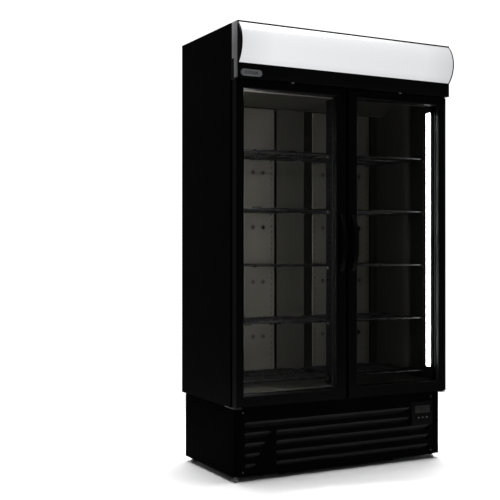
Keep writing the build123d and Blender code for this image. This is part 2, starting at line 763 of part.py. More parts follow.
def panel_screws():
    """Pan-head screws of the two grilles."""
    screws = []
    for places, y, outward in ((grille_screws(), BASE_FRONT, -1), (rear_screws(), BASE_BACK, 1)):
        for x, z in places:
            head = rod_y(x, z, 4.2, min(y, y + 2.2 * outward), max(y, y + 2.2 * outward))
            shank = rod_y(x, z, SCREW_R, min(y, y - 8 * outward), max(y, y - 8 * outward))
            screws.append(head + shank)
    return screws


def compressor():
    """Hermetic pot on its rubber-mounted foot plate."""
    x, y = COMPRESSOR
    low = BASE_BOTTOM + 5
    feet = block(x - 100, x + 100, y - 60, y + 60, POT_LOW - 3, POT_LOW)
    pot = rod_z(x, y, POT_R, POT_LOW, POT_HIGH)
    dome = Pos(x, y, POT_HIGH) * Sphere(POT_R)
    pot += dome & block(x - 80, x + 80, y - 80, y + 80, POT_HIGH - 1, POT_HIGH + 50)
    for dx in (-88, 88):
        for dy in (-48, 48):
            feet += rod_z(x + dx, y + dy, 9, low, POT_LOW - 3)
    terminal = block(x - 26, x + 26, y - 92, y - 60, low + 50, low + 110)
    return feet + pot + terminal


def condenser_coil():
    x0, x1, z0, z1 = CONDENSER_BOX
    return finned_coil(x0, x1, CONDENSER_FRONT, CONDENSER_BACK, z0, z1, 9)


def fan_shroud():
    """Plate with a round mouth, boxed onto the back of the condenser coil."""
    x0, x1, z0, z1 = CONDENSER_BOX
    x, z = CONDENSER_FAN
    outer = block(x0, x1, CONDENSER_BACK, SHROUD_BACK, z0, z1)
    inner = block(x0 + 2, x1 - 2, CONDENSER_BACK - 1, SHROUD_BACK - 2, z0 + 2, z1 - 2)
    return outer - inner - rod_y(x, z, SHROUD_MOUTH_R, SHROUD_BACK - 10, SHROUD_BACK + 10)


def fan_motors():
    motors = []
    plate = EVAPORATOR_PLATE + LINER
    for x in (-EVAPORATOR_FANS_X, EVAPORATOR_FANS_X):
        motors.append(fan_motor(x, EVAPORATOR_FAN_Z, EVAPORATOR_MOTOR_FACE, 80, plate))
    motors.append(fan_motor(*CONDENSER_FAN, CONDENSER_MOTOR_FACE, 118, SHROUD_BACK))
    return motors


def refrigerant_lines():
    """Discharge, liquid and suction lines; the liquid line carries the filter drier."""
    x, y = COMPRESSOR
    edge, side = CONDENSER_BOX[1], (CONDENSER_FRONT + CONDENSER_BACK) / 2
    out, back = x - 38, x + 38
    top, low, port, deck = 240, 70, 150, BODY_BOTTOM - 2
    discharge = [(out, y - 30, port), (out, -30, port), (out, -30, top), (0, -30, top), (0, side, top)]
    routes = [
        discharge + [(edge, side, top)],
        [(edge, side, low), (60, side, low), (60, 230, low), (60, 230, deck)],
        [(back, y + 40, port), (back, 240, port), (back, 240, deck)],
    ]
    lines = []
    for route in routes:
        path = FilletPolyline(*route, radius=TUBE_BEND)
        section = Plane(origin=path @ 0, z_dir=path % 0) * Circle(TUBE_R)
        lines.append(sweep(section, path=path))
    drier = Pos(60, 80, low) * Rot(90, 0, 0) * Cylinder(11, 120)
    lines[1] = lines[1] + drier
    pot = rod_z(x, y, POT_R, -26, 234)
    x0, x1, z0, z1 = CONDENSER_BOX
    coil = block(x0, x1, CONDENSER_FRONT, CONDENSER_BACK, z0, z1)
    return [line - pot - coil for line in lines]


def electrical_box():
    """Controller housing behind the bezel, clear of the buttons."""
    x0, x1, z0, z1 = CUTOUT
    return block(x0, x1 - 17, BASE_FRONT + 8, BASE_FRONT + 60, z0, z1)


def controller_bezel():
    x0, x1, z0, z1 = BEZEL
    y0 = BASE_FRONT - 3
    plate = block(x0, x1, y0, BASE_FRONT, z0, z1)
    plate = chamfer(plate.faces().sort_by(Axis.Y)[0].edges(), 1.2)
    dx0, dx1, dz0, dz1 = DISPLAY
    cutters = [block(dx0, dx1, y0 - 1, BASE_FRONT + 1, dz0, dz1)]
    for x in BUTTONS_X:
        cutters.append(rod_y(x, BUTTON_Z, BUTTON_R + 0.4, y0 - 1, BASE_FRONT + 1))
    return plate - cutters


def controller_display():
    x0, x1, z0, z1 = DISPLAY
    return block(x0, x1, BASE_FRONT - 2.4, BASE_FRONT + 8, z0, z1)


def controller_button(x):
    """Domed cap with a retaining collar behind the bezel."""
    cap = rod_y(x, BUTTON_Z, BUTTON_R, BASE_FRONT - 4.5, BASE_FRONT + 0.4)
    cap = chamfer(cap.edges().sort_by(Axis.Y)[0], 0.8)
    return cap + rod_y(x, BUTTON_Z, BUTTON_R + 2, BASE_FRONT + 0.4, BASE_FRONT + 2.5)


# ---- feet ----
def foot_places():
    return [(x, y) for y in (FOOT_FRONT, FOOT_BACK) for x in (-FOOT_X, FOOT_X)]


def levelling_foot(x, y):
    """Pad, hexagon and threaded stud that screws through the tray."""
    pad = rod_z(x, y, PAD_R, 0, PAD_HEIGHT)
    pad = chamfer(pad.edges().sort_by(Axis.Z)[-1], 2.5)
    nut = Pos(x, y, PAD_HEIGHT) * extrude(RegularPolygon(9, 6), 6)
    return pad + nut + rod_z(x, y, STUD_R, PAD_HEIGHT + 6, STUD_TOP)


def main():
    os.makedirs("parts", exist_ok=True)
    save("outer_wrap", outer_wrap())
    save("back_panel", back_panel())
    save("insulation_foam", insulation_foam())
    save("inner_liner", inner_liner())
    save("front_frame", front_frame())
    save("centre_mullion", centre_mullion())
    save("duct_panels", pair(duct_panel()))
    shelf = wire_shelf()
    shelves = [Pos(0, 0, z) * shelf for z in shelf_levels()]
    save("shelves_right", shelves)
    across = -(SHELF_INNER + SHELF_OUTER)
    save("shelves_left", [Pos(across, 0, 0) * level for level in shelves])
    save("shelf_clips", shelf_clips())

    save("evaporator_cover", evaporator_cover())
    save("evaporator_coil", finned_coil(-420, 420, 90, 190, 1800, 1925, 12))
    save("fan_motors", fan_motors())
    for side, x in (("left", -EVAPORATOR_FANS_X), ("right", EVAPORATOR_FANS_X)):
        blades = fan_blades(x, EVAPORATOR_FAN_Z, EVAPORATOR_MOTOR_FACE, EVAPORATOR_FAN_R)
        save(f"evaporator_fan_{side}", blades)
    save("lamp_housings", pair(lamp_housing()))
    save("lamp_lenses", pair(lamp_lens()))

    save("header_box", header_box())
    save("header_lens", header_lens())
    save("lens_end_caps", lens_end_caps())
    save("header_end_trims", header_end_trims())
    save("header_lamps", header_lamps())
    save("badge_plate", badge_plate())
    save("lock_barrels", pair(lock_barrel()))
    save("lock_plug_left", lock_plug(-LOCK_X))
    save("lock_plug_right", lock_plug(LOCK_X))
    save("hinge_brackets", hinge_brackets())

    door = {
        "frame": [door_frame()],
        "glass": door_glass(),
        "spacer": [glass_spacer()],
        "gasket": [door_gasket()],
        "handle": [door_handle()],
        "end_blocks": door_end_blocks(),
    }
    for piece, shapes in door.items():
        save(f"right_door_{piece}", shapes)
        save(f"left_door_{piece}", [mirrored(shape) for shape in shapes])

    save("base_chassis", base_chassis())
    save("base_side_panels", base_side_panels())
    save("front_grille", front_grille())
    save("rear_grille", rear_grille())
    save("cord_gland", cord_gland())
    save("panel_screws", panel_screws())
    save("compressor", compressor())
    save("condenser_coil", condenser_coil())
    save("fan_shroud", fan_shroud())
    save("condenser_fan", fan_blades(*CONDENSER_FAN, CONDENSER_MOTOR_FACE, CONDENSER_FAN_R))
    save("refrigerant_lines", refrigerant_lines())
    save("electrical_box", electrical_box())
    save("controller_bezel", controller_bezel())
    save("controller_display", controller_display())
    for name, x in zip(("set", "down", "up"), BUTTONS_X):
        save(f"button_{name}", controller_button(x))
    names = ("front_left", "front_right", "back_left", "back_right")
    for name, (x, y) in zip(names, foot_places()):
        save(f"foot_{name}", levelling_foot(x, y))


main()
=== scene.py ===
import json
import math

import bmesh
import bpy
from mathutils import Matrix, Vector


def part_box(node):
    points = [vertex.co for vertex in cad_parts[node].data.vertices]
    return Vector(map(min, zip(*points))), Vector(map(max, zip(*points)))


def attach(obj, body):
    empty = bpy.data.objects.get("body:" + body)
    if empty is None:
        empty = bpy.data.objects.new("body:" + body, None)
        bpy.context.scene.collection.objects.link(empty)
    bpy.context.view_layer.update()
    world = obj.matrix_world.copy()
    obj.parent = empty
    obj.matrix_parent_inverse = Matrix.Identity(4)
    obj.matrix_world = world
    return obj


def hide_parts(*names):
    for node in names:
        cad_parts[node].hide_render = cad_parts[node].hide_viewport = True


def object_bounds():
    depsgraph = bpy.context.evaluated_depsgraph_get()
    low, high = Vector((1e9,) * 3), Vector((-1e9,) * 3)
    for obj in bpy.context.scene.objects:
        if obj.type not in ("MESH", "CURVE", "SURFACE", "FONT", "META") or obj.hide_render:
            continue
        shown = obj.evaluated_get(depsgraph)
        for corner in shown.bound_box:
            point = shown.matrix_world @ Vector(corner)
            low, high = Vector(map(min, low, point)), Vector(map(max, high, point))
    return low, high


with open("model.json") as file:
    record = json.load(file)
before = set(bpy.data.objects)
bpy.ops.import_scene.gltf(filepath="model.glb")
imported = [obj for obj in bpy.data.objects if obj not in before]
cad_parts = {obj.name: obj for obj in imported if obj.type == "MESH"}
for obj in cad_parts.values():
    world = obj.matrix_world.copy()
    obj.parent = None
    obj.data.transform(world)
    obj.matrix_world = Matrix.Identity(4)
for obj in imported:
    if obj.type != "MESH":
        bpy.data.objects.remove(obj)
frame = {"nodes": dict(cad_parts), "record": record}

CAD_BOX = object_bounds()
NODES = frame["nodes"]
LOW = Vector(CAD_BOX[0])

# ---- camera: three quarter view from the left, at half the cabinet's height ----
CAMERA_PLACE = Vector((-2.4285, -3.9182, 1.009))
CAMERA_TILT = math.radians(90.0745)
CAMERA_YAW = math.radians(-27.73)
CAMERA_LENS = 68.74

# ---- colours, linear ----
BLACK_PAINT = (0.0013, 0.0013, 0.0014)
HEADER_PAINT = (0.0052, 0.0052, 0.0053)
LOUVRE_PAINTED_HIGHLIGHT = (0.023, 0.023, 0.023)
BLACK_PROFILE = (0.0012, 0.0012, 0.0013)
BLACK_PLASTIC = (0.003, 0.003, 0.0032)
LINER_GREY = (0.0185, 0.0178, 0.0152)
DUCT_SIDE = (0.0014, 0.0014, 0.0012)
SHELF_BLACK = (0.0011, 0.0011, 0.0012)
ALUMINIUM = (0.62, 0.63, 0.64)
COPPER = (0.72, 0.33, 0.18)
LAMP_WHITE = (0.97, 0.98, 1.0)
DISPLAY_GREEN = (0.0085, 0.009, 0.007)
WORN_METAL = (0.05, 0.05, 0.052)

# ---- liner zones, by distance from the machine's middle, from a duct's faces or from the ground ----
RECESS_HALF = 0.081
WALL_END = 0.489
HOLE_BAND = (0.1455, 0.38)
SIDE_WALL_FROM = 0.525
WALL_SKIN = 0.0008
DUCT_SKIN = 0.0015
DUCT_MARGIN = 0.002
CAVITY_FLOOR_UNDER = 0.42

# ---- how much of the liner's colour each zone keeps: painted shade behind the ducts (less in the hole band), in the central recess and on the side walls; the cavity floor is darker too ----
WALL_PAINTED_SHADE = 0.05
HOLE_BAND_PAINTED_SHADE = 0.15
RECESS_PAINTED_SHADE = 0.47
SIDE_WALL_PAINTED_SHADE = 0.04
CAVITY_FLOOR_TONE = 0.3

# ---- light strengths and places; PATCH is the cosines between which the room turns into the backdrop ----
ROOM = 0.16
BACKDROP = 1.15
PATCH = (0.74, 0.92)
OVERHEAD = 620.0
OVERHEAD_PLACE = (0.3, 0.5, 4.6)
OVERHEAD_SIZE = (3.4, 3.4)
FLOOR_FADE = (0.7, 2.0)
LEFT_LAMP = 365.0
RIGHT_LAMP = 15.0
BATTEN_LAMP = 0.8
HEADER_LAMP = 0.8
LENS_EVEN_PART = 0.72
LENS_END_GLOW = 0.84
LENS_RIM_GLOW = 0.9
LENS_LEFT_TO_RIGHT = (1.07, 0.93)


# ---- material helpers ----
UPRIGHT = (1, 1, 0.02)
ACROSS = (0.02, 1, 1)
NOISE_CORE = (0.3, 0.7)


class Graph:
    """A material's node tree, with short ways to add and join its nodes."""

    def __init__(self, name):
        self.material = bpy.data.materials.new(name)
        self.material.use_nodes = True
        self.tree = self.material.node_tree
        self.tree.nodes.clear()
        self.output = self.node("ShaderNodeOutputMaterial")
        self.place = self.node("ShaderNodeTexCoord").outputs["Object"]

    def node(self, kind, **values):
        made = self.tree.nodes.new(kind)
        for key, value in values.items():
            setattr(made, key, value)
        return made

    def join(self, source, target):
        self.tree.links.new(source, target)

    def stretched(self, scale):
        mapping = self.node("ShaderNodeMapping")
        mapping.inputs["Scale"].default_value = scale
        self.join(self.place, mapping.inputs["Vector"])
        return mapping.outputs["Vector"]

    def noise(self, scale, detail=4.0, stretch=(1.0, 1.0, 1.0)):
        made = self.node("ShaderNodeTexNoise")
        made.inputs["Scale"].default_value = scale
        made.inputs["Detail"].default_value = detail
        self.join(self.stretched(stretch), made.inputs["Vector"])
        return made.outputs["Fac"]

    def spread(self, source, low, high, out_low, out_high):
        made = self.node("ShaderNodeMapRange")
        made.inputs["From Min"].default_value = low
        made.inputs["From Max"].default_value = high
        made.inputs["To Min"].default_value = out_low
        made.inputs["To Max"].default_value = out_high
        self.join(source, made.inputs["Value"])
        return made.outputs["Result"]

    def cloudy(self, scale, low, high, detail=4.0):
        """Noise spread between two values, from the range where nearly all of it falls."""
        return self.spread(self.noise(scale, detail), *NOISE_CORE, low, high)

    def blend_colours(self, factor, first, second):
        """Mix two colours, each a tuple or a socket."""
        made = self.node("ShaderNodeMix", data_type="RGBA")
        self.join(factor, made.inputs[0])
        for socket, colour in ((made.inputs[6], first), (made.inputs[7], second)):
            if isinstance(colour, tuple):
                socket.default_value = (*colour, 1.0)
            else:
                self.join(colour, socket)
        return made.outputs[2]

    def bump(self, height, strength, distance):
        made = self.node("ShaderNodeBump")
        made.inputs["Strength"].default_value = strength
        made.inputs["Distance"].default_value = distance
        self.join(height, made.inputs["Height"])
        return made.outputs["Normal"]

    def edge(self, radius):
        """From 0 on flat faces to 1 along edges."""
        bevel = self.node("ShaderNodeBevel", samples=4)
        bevel.inputs["Radius"].default_value = radius
        flat = self.node("ShaderNodeNewGeometry").outputs["True Normal"]
        compare = self.node("ShaderNodeVectorMath", operation="DOT_PRODUCT")
        self.join(bevel.outputs["Normal"], compare.inputs[0])
        self.join(flat, compare.inputs[1])
        return self.spread(compare.outputs["Value"], 0.995, 0.85, 0.0, 1.0)

    def above(self, source, limit):
        """1 where the source is over the limit, else 0."""
        made = self.node("ShaderNodeMath", operation="GREATER_THAN")
        self.join(source, made.inputs[0])
        made.inputs[1].default_value = limit
        return made.outputs[0]

    def below(self, source, limit):
        made = self.node("ShaderNodeMath", operation="LESS_THAN")
        self.join(source, made.inputs[0])
        made.inputs[1].default_value = limit
        return made.outputs[0]

    def size_of(self, source):
        made = self.node("ShaderNodeMath", operation="ABSOLUTE")
        self.join(source, made.inputs[0])
        return made.outputs[0]

    def product(self, *sources):
        result = sources[0]
        for source in sources[1:]:
            made = self.node("ShaderNodeMath", operation="MULTIPLY")
            self.join(result, made.inputs[0])
            self.join(source, made.inputs[1])
            result = made.outputs[0]
        return result

    def parts_of(self, vector):
        split = self.node("ShaderNodeSeparateXYZ")
        self.join(vector, split.inputs[0])
        return split.outputs["X"], split.outputs["Y"], split.outputs["Z"]

    def show(self, shader):
        self.join(shader, self.output.inputs["Surface"])
        return self.material


def shade(colour, factor):
    return tuple(min(1.0, channel * factor) for channel in colour)


def surface(name, colour, rough, metal=0.0, grain=900.0, depth=0.00004, stretch=(1, 1, 1), vary=0.18,
            wear=0.0, worn=WORN_METAL, coat=0.0, gloss=0.5):
    """Solid material: cloudy colour, uneven gloss, fine grain and, where asked, brighter worn edges."""
    graph = Graph(name)
    clouds = graph.cloudy(5.0, 0.0, 1.0, detail=5.0)
    tint = graph.blend_colours(clouds, shade(colour, 1 - vary), shade(colour, 1 + vary))
    fine = graph.noise(grain, 3.0, stretch)
    if wear:
        chips = graph.noise(160.0, 6.0)
        mask = graph.node("ShaderNodeMath", operation="MULTIPLY")
        graph.join(graph.edge(0.0012), mask.inputs[0])
        graph.join(graph.spread(chips, 0.52, 0.68, 0.0, wear), mask.inputs[1])
        tint = graph.blend_colours(mask.outputs[0], tint, worn)
    body = graph.node("ShaderNodeBsdfPrincipled")
    body.inputs["Metallic"].default_value = metal
    body.inputs["Coat Weight"].default_value = coat
    body.inputs["Coat Roughness"].default_value = 0.12
    body.inputs["Specular IOR Level"].default_value = gloss
    graph.join(tint, body.inputs["Base Color"])
    smears = graph.noise(14.0, 6.0)
    uneven = graph.spread(smears, *NOISE_CORE, rough * 0.93, min(1.0, rough * 1.07))
    graph.join(uneven, body.inputs["Roughness"])
    graph.join(graph.bump(fine, 0.35, depth), body.inputs["Normal"])
    return graph.show(body.outputs[0])


def liner(name):
    """Lining sheet with painted shade behind the ducts (less in the band seen through their holes), in the
    central recess and on the side walls, more towards the back; also darker on the ducts' slanted sides and
    on the cavity floor.
    """
    graph = Graph(name)
    clouds = graph.cloudy(5.0, 0.0, 1.0, detail=5.0)
    tint = graph.blend_colours(clouds, shade(LINER_GREY, 0.86), shade(LINER_GREY, 1.14))
    x, y, z = graph.parts_of(graph.place)
    across = graph.size_of(x)
    low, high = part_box("duct_panels")
    inner_side = graph.above(across, RECESS_HALF)
    # painted shade: the back wall behind the ducts is darkened, a little less in the band seen through the
    # holes, in place of the ducts' shadow
    wall = graph.product(graph.above(y, high.y - WALL_SKIN), inner_side, graph.below(across, WALL_END))
    holes = graph.product(wall, graph.above(across, HOLE_BAND[0]), graph.below(across, HOLE_BAND[1]))
    tint = graph.blend_colours(wall, tint, shade(LINER_GREY, WALL_PAINTED_SHADE))
    tint = graph.blend_colours(holes, tint, shade(LINER_GREY, HOLE_BAND_PAINTED_SHADE))
    # painted shade: the back wall in the central recess between the ducts is darkened
    recess = graph.node("ShaderNodeMath", operation="SUBTRACT")
    recess.inputs[0].default_value = 1.0
    graph.join(inner_side, recess.inputs[1])
    behind = graph.product(graph.above(y, high.y - WALL_SKIN), recess.outputs[0])
    tint = graph.blend_colours(behind, tint, shade(LINER_GREY, RECESS_PAINTED_SHADE))
    normal = graph.node("ShaderNodeNewGeometry").outputs["Normal"]
    slanted = graph.above(graph.size_of(graph.parts_of(normal)[0]), 0.5)
    # painted shade: the side walls are darkened, more towards the back
    side_wall = graph.product(graph.above(graph.size_of(graph.parts_of(normal)[0]), 0.9),
                              graph.above(across, SIDE_WALL_FROM))
    depth = graph.spread(y, -0.15, 0.04, 0.1, 0.9)
    tint = graph.blend_colours(graph.product(side_wall, depth), tint, shade(LINER_GREY, SIDE_WALL_PAINTED_SHADE))
    duct_side = graph.product(slanted, graph.above(y, low.y + DUCT_SKIN),
                              graph.below(across, high.x + DUCT_MARGIN))
    tint = graph.blend_colours(duct_side, tint, DUCT_SIDE)
    lifted = graph.product(graph.above(graph.parts_of(normal)[2], 0.9),
                           graph.below(z, LOW.z + CAVITY_FLOOR_UNDER))
    tint = graph.blend_colours(lifted, tint, shade(LINER_GREY, CAVITY_FLOOR_TONE))
    body = graph.node("ShaderNodeBsdfPrincipled")
    graph.join(graph.spread(duct_side, 0.0, 1.0, 0.1, 0.0), body.inputs["Specular IOR Level"])
    graph.join(tint, body.inputs["Base Color"])
    graph.join(graph.cloudy(14.0, 0.39, 0.45, detail=6.0), body.inputs["Roughness"])
    graph.join(graph.bump(graph.noise(900.0, 3.0, UPRIGHT), 0.35, 0.00004), body.inputs["Normal"])
    return graph.show(body.outputs[0])


def louvred(name):
    """Front sheet: black paint on the flat, with a painted highlight where the louvre flaps lean back and
    would catch the light.
    """
    graph = Graph(name)
    clouds = graph.cloudy(5.0, 0.0, 1.0, detail=5.0)
    tint = graph.blend_colours(clouds, shade(BLACK_PAINT, 0.8), shade(BLACK_PAINT, 1.1))
    normal = graph.node("ShaderNodeNewGeometry").outputs["Normal"]
    # painted highlight: faces tilted away from upright, the louvre flaps, are lightened
    leaning = graph.spread(graph.size_of(graph.parts_of(normal)[2]), 0.1, 0.45, 0.0, 1.0)
    tint = graph.blend_colours(leaning, tint, LOUVRE_PAINTED_HIGHLIGHT)
    body = graph.node("ShaderNodeBsdfPrincipled")
    body.inputs["Specular IOR Level"].default_value = 0.006
    graph.join(tint, body.inputs["Base Color"])
    graph.join(graph.cloudy(14.0, 0.46, 0.54, detail=6.0), body.inputs["Roughness"])
    graph.join(graph.bump(graph.noise(700.0, 3.0), 0.35, 0.00008), body.inputs["Normal"])
    return graph.show(body.outputs[0])


def lamp_strip(name, strength):
    """LED strip cover: one even glow, with a faintly grained frosted surface."""
    graph = Graph(name)
    body = graph.node("ShaderNodeBsdfPrincipled")
    frost = graph.cloudy(90.0, 0.0, 1.0)
    graph.join(graph.blend_colours(frost, (0.84, 0.86, 0.88), (0.9, 0.92, 0.94)), body.inputs["Base Color"])
    body.inputs["Emission Color"].default_value = (*LAMP_WHITE, 1.0)
    body.inputs["Emission Strength"].default_value = strength
    graph.join(graph.cloudy(40.0, 0.28, 0.38), body.inputs["Roughness"])
    return graph.show(body.outputs[0])


def batten_tube(name):
    """Header tubes: a soft glow, as the lens in front of them carries the visible light."""
    graph = Graph(name)
    body = graph.node("ShaderNodeBsdfPrincipled")
    body.inputs["Base Color"].default_value = (0.8, 0.8, 0.8, 1.0)
    body.inputs["Emission Color"].default_value = (*LAMP_WHITE, 1.0)
    glow = graph.cloudy(20.0, 0.9 * BATTEN_LAMP, BATTEN_LAMP)
    graph.join(glow, body.inputs["Emission Strength"])
    graph.join(graph.cloudy(40.0, 0.3, 0.4), body.inputs["Roughness"])
    return graph.show(body.outputs[0])


def bowed_lens(name):
    """Header diffuser lit from inside: brightest along the middle, greyer at its ends and edges."""
    graph = Graph(name)
    low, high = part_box("header_lens")
    split = graph.node("ShaderNodeSeparateXYZ")
    graph.join(graph.place, split.inputs[0])
    fades, glow = [], HEADER_LAMP ** 0.5
    for axis, middle, half, floor in (("X", 0.5 * (low.x + high.x), 0.5 * (high.x - low.x), LENS_END_GLOW),
                                      ("Z", 0.5 * (low.z + high.z), 0.5 * (high.z - low.z), LENS_RIM_GLOW)):
        offset = graph.node("ShaderNodeMath", operation="SUBTRACT")
        graph.join(split.outputs[axis], offset.inputs[0])
        offset.inputs[1].default_value = middle
        size = graph.node("ShaderNodeMath", operation="ABSOLUTE")
        graph.join(offset.outputs[0], size.inputs[0])
        fades.append(graph.spread(size.outputs[0], LENS_EVEN_PART * half, half, glow, floor * glow))
    fades.append(graph.spread(split.outputs["X"], low.x, high.x, *LENS_LEFT_TO_RIGHT))
    body = graph.node("ShaderNodeBsdfPrincipled")
    body.inputs["Base Color"].default_value = (0.05, 0.05, 0.05, 1.0)
    body.inputs["Emission Color"].default_value = (*LAMP_WHITE, 1.0)
    body.inputs["Specular IOR Level"].default_value = 0.2
    graph.join(graph.product(*fades), body.inputs["Emission Strength"])
    graph.join(graph.cloudy(30.0, 0.2, 0.3), body.inputs["Roughness"])
    graph.join(graph.bump(graph.noise(1200.0), 0.2, 0.00003), body.inputs["Normal"])
    return graph.show(body.outputs[0])


def pane(name):
    """Clear coated glass: light passes, and gloss grows towards grazing angles."""
    graph = Graph(name)
    clear = graph.node("ShaderNodeBsdfTransparent")
    smudges = graph.spread(graph.noise(9.0, 5.0), 0.35, 0.75, 0.0, 1.0)
    graph.join(graph.blend_colours(smudges, (0.96, 0.96, 0.955), (0.945, 0.945, 0.94)), clear.inputs["Color"])
    gloss = graph.node("ShaderNodeBsdfGlossy")
    gloss.inputs["Color"].default_value = (0.9, 0.93, 0.92, 1.0)
    graph.join(graph.cloudy(25.0, 0.01, 0.035), gloss.inputs["Roughness"])
    angle = graph.node("ShaderNodeFresnel")
    angle.inputs["IOR"].default_value = 1.07
    mix = graph.node("ShaderNodeMixShader")
    graph.join(angle.outputs[0], mix.inputs[0])
    graph.join(clear.outputs[0], mix.inputs[1])
    graph.join(gloss.outputs[0], mix.inputs[2])
    return graph.show(mix.outputs[0])


FINISH = {
    "black_steel": surface("black_steel", BLACK_PAINT, 0.5, grain=700, depth=0.00008, wear=0.4, gloss=0.009),
    "foam": surface("foam", (0.07, 0.062, 0.048), 0.9, grain=300, depth=0.0006),
    "liner_sheet": liner("liner_sheet"),
    "black_profile": surface("black_profile", BLACK_PROFILE, 0.3, stretch=UPRIGHT, wear=0.35, gloss=0.05),
    "shelf_wire": surface("shelf_wire", SHELF_BLACK, 0.28, grain=500, gloss=0.2),
    "clip_steel": surface("clip_steel", (0.03, 0.03, 0.03), 0.4, metal=0.7),
    "coil_aluminium": surface("coil_aluminium", ALUMINIUM, 0.38, metal=1.0, stretch=UPRIGHT),
    "motor_casing": surface("motor_casing", (0.012, 0.012, 0.014), 0.38, wear=0.6, depth=0.0001),
    "fan_plastic": surface("fan_plastic", BLACK_PLASTIC, 0.5, depth=0.0001),
    "lamp_body": surface("lamp_body", (0.2, 0.2, 0.21), 0.35, stretch=UPRIGHT, gloss=0.3),
    "lamp_diffuser": lamp_strip("lamp_diffuser", LEFT_LAMP),
    "lit_diffuser": bowed_lens("lit_diffuser"),
    "black_trim": surface("black_trim", (0.0017, 0.0017, 0.0018), 0.4, wear=0.1, gloss=0.035),
    "grey_trim": surface("grey_trim", (0.32, 0.32, 0.33), 0.35, metal=0.3, stretch=UPRIGHT),
    "badge_satin": surface("badge_satin", (0.45, 0.46, 0.48), 0.3, metal=0.9, stretch=ACROSS),
    "chrome": surface("chrome", (0.75, 0.76, 0.78), 0.1, metal=1.0, depth=0.00001),
    "door_glazing": pane("door_glazing"),
    "spacer_aluminium": surface("spacer_aluminium", (0.08, 0.08, 0.08), 0.4, metal=0.8, stretch=UPRIGHT),
    "gasket_rubber": surface("gasket_rubber", (0.003, 0.003, 0.003), 0.7, depth=0.0002, gloss=0.08),
    "nylon": surface("nylon", (0.015, 0.015, 0.015), 0.55, depth=0.0001),
    "gland_rubber": surface("gland_rubber", (0.01, 0.01, 0.01), 0.65, depth=0.0002),
    "copper_line": surface("copper_line", COPPER, 0.26, metal=1.0),
    "display_window": surface("display_window", DISPLAY_GREEN, 0.35, coat=0.05, gloss=0.2),
    "foot_plastic": surface("foot_plastic", (0.3, 0.3, 0.3), 0.4, depth=0.0001),
}


OWN_FINISH = {
    "header_lamps": batten_tube("header_tubes"),
    "evaporator_cover": surface("cover_sheet", shade(LINER_GREY, 0.36), 0.45, stretch=ACROSS, gloss=0.05),
    # painted shade: the mullion takes a darker, less glossy copy of the black profile for its shaded side
    "centre_mullion": surface("mullion_profile_painted_shade", shade(BLACK_PROFILE, 0.4), 0.5, stretch=UPRIGHT,
                              gloss=0.012),
    "base_side_panels": surface("base_paint", BLACK_PAINT, 0.6, grain=700, depth=0.00008,
                                wear=0.3, gloss=0.002),
    "header_box": surface("header_paint", HEADER_PAINT, 0.4, grain=700, depth=0.00008,
                          wear=0.2, gloss=0.03),
    "front_grille": louvred("louvre_paint_and_highlight"),
}


def finish_nodes():
    """Every CAD node takes the material of its slot in the record, or its own version of it."""
    for entry in frame["record"]["subparts"]:
        slots = NODES[entry["node"]].data.materials
        slots.clear()
        slots.append(OWN_FINISH.get(entry["node"], FINISH[entry["material_slot"]]))


# ---- pieces ----
def settle(bm, name, body, slot, replaced=(), sharp=0.6, material=None):
    """Turn the mesh into a piece that rides on a body, with rounded shading between its sharp edges."""
    bmesh.ops.recalc_face_normals(bm, faces=bm.faces)
    mesh = bpy.data.meshes.new(name)
    bm.to_mesh(mesh)
    bm.free()
    mesh.polygons.foreach_set("use_smooth", [True] * len(mesh.polygons))
    mesh.set_sharp_from_angle(angle=sharp)
    mesh.materials.append(material or FINISH[slot])
    piece = bpy.data.objects.new(name, mesh)
    bpy.context.scene.collection.objects.link(piece)
    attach(piece, body)
    if replaced:
        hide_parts(*replaced)
    return piece


def soften(node, width, body, slot):
    """A CAD node with its sharp edges rounded, shown in its place."""
    bm = bmesh.new()
    bm.from_mesh(NODES[node].data)
    bmesh.ops.remove_doubles(bm, verts=bm.verts, dist=0.00001)
    bmesh.ops.dissolve_limit(bm, angle_limit=math.radians(0.5), verts=bm.verts, edges=bm.edges)
    edges = [edge for edge in bm.edges
             if len(edge.link_faces) == 2 and edge.calc_face_angle() > math.radians(35)]
    bmesh.ops.bevel(bm, geom=edges, offset=width, segments=2, profile=0.5, affect="EDGES", clamp_overlap=True)
    return settle(bm, node + "_rounded", body, slot, (node,))


def add_block(bm, low, high, round_by=0.0):
    made = bmesh.ops.create_cube(bm, size=1.0)["verts"]
    low, high = Vector(low), Vector(high)
    bmesh.ops.scale(bm, vec=high - low, verts=made)
    bmesh.ops.translate(bm, vec=(low + high) / 2, verts=made)
    if round_by:
        edges = list(dict.fromkeys(edge for vert in made for edge in vert.link_edges))
        bmesh.ops.bevel(bm, geom=edges, offset=round_by, segments=2, profile=0.5, affect="EDGES")


def add_rod(bm, start, end, radius, tip=None, sides=20):
    start, end = Vector(start), Vector(end)
    turn = (end - start).to_track_quat("Z", "Y").to_matrix().to_4x4()
    far = radius if tip is None else tip
    bmesh.ops.create_cone(bm, cap_ends=True, segments=sides, radius1=radius, radius2=far,
                          depth=(end - start).length, matrix=Matrix.Translation((start + end) / 2) @ turn)


